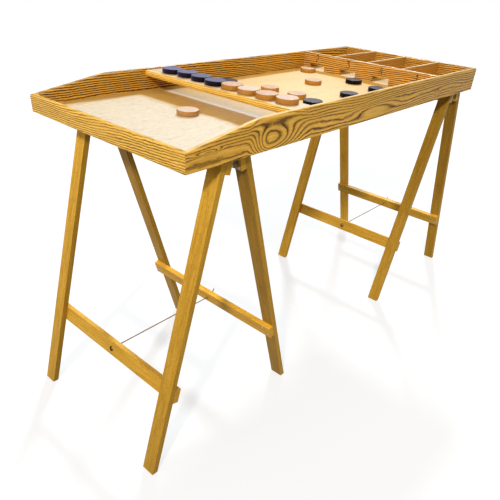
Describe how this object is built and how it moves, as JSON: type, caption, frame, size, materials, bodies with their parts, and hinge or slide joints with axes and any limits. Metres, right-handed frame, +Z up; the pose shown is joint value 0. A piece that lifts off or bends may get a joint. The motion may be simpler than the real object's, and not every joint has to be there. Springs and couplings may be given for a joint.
{
  "type": "tabletop shuffleboard game",
  "caption": "Long wooden tray for sliding discs, with a low player's end, a bridge, a bar with numbered gates and scoring compartments, on folding trestles.",
  "frame": {"origin": "on the ground, midway between the two trestles", "axes": "+X from the player's end to the gates, +Y towards the far side rail, +Z up"},
  "size_m": [1.574, 0.52, 0.8111],
  "materials": {
    "oak_rail": "satin",
    "birch_panel": "gloss",
    "birch_shelf": "satin",
    "oak_nosing": "satin",
    "light_disc": "satin",
    "dark_disc": "satin",
    "beech_trestle": "satin",
    "hinge_steel": "satin",
    "rope": "matte"
  },
  "bodies": {
    "front_trestle_front_frame": {"front_trestle_front_near_leg": "beech_trestle", "front_trestle_front_far_leg": "beech_trestle", "front_trestle_front_stretcher": "beech_trestle", "front_trestle_front_top_rail": "beech_trestle", "front_trestle_front_hinge_leaves": "hinge_steel", "front_trestle_hinge_pins": "hinge_steel", "front_trestle_rope": "rope"},
    "front_trestle_rear_frame": {"front_trestle_rear_near_leg": "beech_trestle", "front_trestle_rear_far_leg": "beech_trestle", "front_trestle_rear_stretcher": "beech_trestle", "front_trestle_rear_top_rail": "beech_trestle", "front_trestle_rear_hinge_leaves": "hinge_steel"},
    "board": {"front_rail": "oak_rail", "end_rail": "oak_rail", "near_side_rail": "oak_rail", "far_side_rail": "oak_rail", "playing_panel": "birch_panel", "bridge_shelf": "birch_shelf", "bridge_nosing": "oak_nosing", "gate_bar": "oak_rail", "divider_1": "oak_rail", "divider_2": "oak_rail", "divider_3": "oak_rail"},
    "rear_trestle_front_frame": {"rear_trestle_front_near_leg": "beech_trestle", "rear_trestle_front_far_leg": "beech_trestle", "rear_trestle_front_stretcher": "beech_trestle", "rear_trestle_front_top_rail": "beech_trestle", "rear_trestle_front_hinge_leaves": "hinge_steel", "rear_trestle_hinge_pins": "hinge_steel", "rear_trestle_rope": "rope"},
    "rear_trestle_rear_frame": {"rear_trestle_rear_near_leg": "beech_trestle", "rear_trestle_rear_far_leg": "beech_trestle", "rear_trestle_rear_stretcher": "beech_trestle", "rear_trestle_rear_top_rail": "beech_trestle", "rear_trestle_rear_hinge_leaves": "hinge_steel"},
    "light_disc_1": {"light_disc_1": "light_disc"},
    "light_disc_2": {"light_disc_2": "light_disc"},
    "light_disc_3": {"light_disc_3": "light_disc"},
    "light_disc_4": {"light_disc_4": "light_disc"},
    "dark_disc_5": {"dark_disc_5": "dark_disc"},
    "dark_disc_6": {"dark_disc_6": "dark_disc"},
    "dark_disc_7": {"dark_disc_7": "dark_disc"},
    "dark_disc_8": {"dark_disc_8": "dark_disc"},
    "light_disc_9": {"light_disc_9": "light_disc"},
    "dark_disc_10": {"dark_disc_10": "dark_disc"},
    "light_disc_11": {"light_disc_11": "light_disc"},
    "light_disc_12": {"light_disc_12": "light_disc"},
    "dark_disc_13": {"dark_disc_13": "dark_disc"},
    "light_disc_14": {"light_disc_14": "light_disc"},
    "dark_disc_15": {"dark_disc_15": "dark_disc"},
    "dark_disc_16": {"dark_disc_16": "dark_disc"},
    "dark_disc_17": {"dark_disc_17": "dark_disc"},
    "light_disc_18": {"light_disc_18": "light_disc"},
    "dark_disc_19": {"dark_disc_19": "dark_disc"}
  },
  "joints": [
    {"name": "front_trestle_fold", "type": "hinge", "parent": "front_trestle_front_frame", "child": "front_trestle_rear_frame", "pos_m": [-0.534, 0, 0.733], "axis": [0, 1, 0], "range_deg": [0, 32.58], "deforming": ["front_trestle_rope"]},
    {"name": "board_lift", "type": "slide", "parent": "front_trestle_front_frame", "child": "board", "axis": [0, 0, 1], "range_m": [0, 0.15]},
    {"name": "rear_trestle_stay", "type": "slide", "parent": "board", "child": "rear_trestle_front_frame", "axis": [0, 0, -1], "range_m": [0, 0.15]},
    {"name": "rear_trestle_fold", "type": "hinge", "parent": "rear_trestle_front_frame", "child": "rear_trestle_rear_frame", "pos_m": [0.534, 0, 0.733], "axis": [0, 1, 0], "range_deg": [0, 32.58], "deforming": ["rear_trestle_rope"]},
    {"name": "light_disc_1_lift", "type": "slide", "parent": "board", "child": "light_disc_1", "axis": [0, 0, 1], "range_m": [0, 0.06]},
    {"name": "light_disc_2_lift", "type": "slide", "parent": "board", "child": "light_disc_2", "axis": [0, 0, 1], "range_m": [0, 0.06]},
    {"name": "light_disc_3_lift", "type": "slide", "parent": "board", "child": "light_disc_3", "axis": [0, 0, 1], "range_m": [0, 0.06]},
    {"name": "light_disc_4_lift", "type": "slide", "parent": "board", "child": "light_disc_4", "axis": [0, 0, 1], "range_m": [0, 0.06]},
    {"name": "dark_disc_5_lift", "type": "slide", "parent": "board", "child": "dark_disc_5", "axis": [0, 0, 1], "range_m": [0, 0.06]},
    {"name": "dark_disc_6_lift", "type": "slide", "parent": "board", "child": "dark_disc_6", "axis": [0, 0, 1], "range_m": [0, 0.06]},
    {"name": "dark_disc_7_lift", "type": "slide", "parent": "board", "child": "dark_disc_7", "axis": [0, 0, 1], "range_m": [0, 0.06]},
    {"name": "dark_disc_8_lift", "type": "slide", "parent": "board", "child": "dark_disc_8", "axis": [0, 0, 1], "range_m": [0, 0.06]},
    {"name": "light_disc_9_slide", "type": "slide", "parent": "board", "child": "light_disc_9", "axis": [1, 0, 0], "range_m": [0, 0.25]},
    {"name": "dark_disc_10_slide", "type": "slide", "parent": "board", "child": "dark_disc_10", "axis": [1, 0, 0], "range_m": [0, 0.3]},
    {"name": "light_disc_11_slide", "type": "slide", "parent": "board", "child": "light_disc_11", "axis": [1, 0, 0], "range_m": [0, 0.11]},
    {"name": "light_disc_12_slide", "type": "slide", "parent": "board", "child": "light_disc_12", "axis": [1, 0, 0], "range_m": [0, 0.25]},
    {"name": "dark_disc_13_slide", "type": "slide", "parent": "board", "child": "dark_disc_13", "axis": [1, 0, 0], "range_m": [0, 0.1]},
    {"name": "light_disc_14_slide", "type": "slide", "parent": "board", "child": "light_disc_14", "axis": [1, 0, 0], "range_m": [0, 0.15]},
    {"name": "dark_disc_15_slide", "type": "slide", "parent": "board", "child": "dark_disc_15", "axis": [1, 0, 0], "range_m": [0, 0.045]},
    {"name": "dark_disc_16_slide", "type": "slide", "parent": "board", "child": "dark_disc_16", "axis": [1, 0, 0], "range_m": [0, 0.08]},
    {"name": "dark_disc_17_slide", "type": "slide", "parent": "board", "child": "dark_disc_17", "axis": [1, 0, 0], "range_m": [0, 0.085]},
    {"name": "light_disc_18_slide", "type": "slide", "parent": "board", "child": "light_disc_18", "axis": [1, 0, 0], "range_m": [0, 0.24]},
    {"name": "dark_disc_19_slide", "type": "slide", "parent": "board", "child": "dark_disc_19", "axis": [1, 0, 0], "range_m": [0, 0.1]}
  ],
  "couplings": [
    {"joint": "rear_trestle_stay", "follows": "board_lift", "ratio": 1}
  ]
}
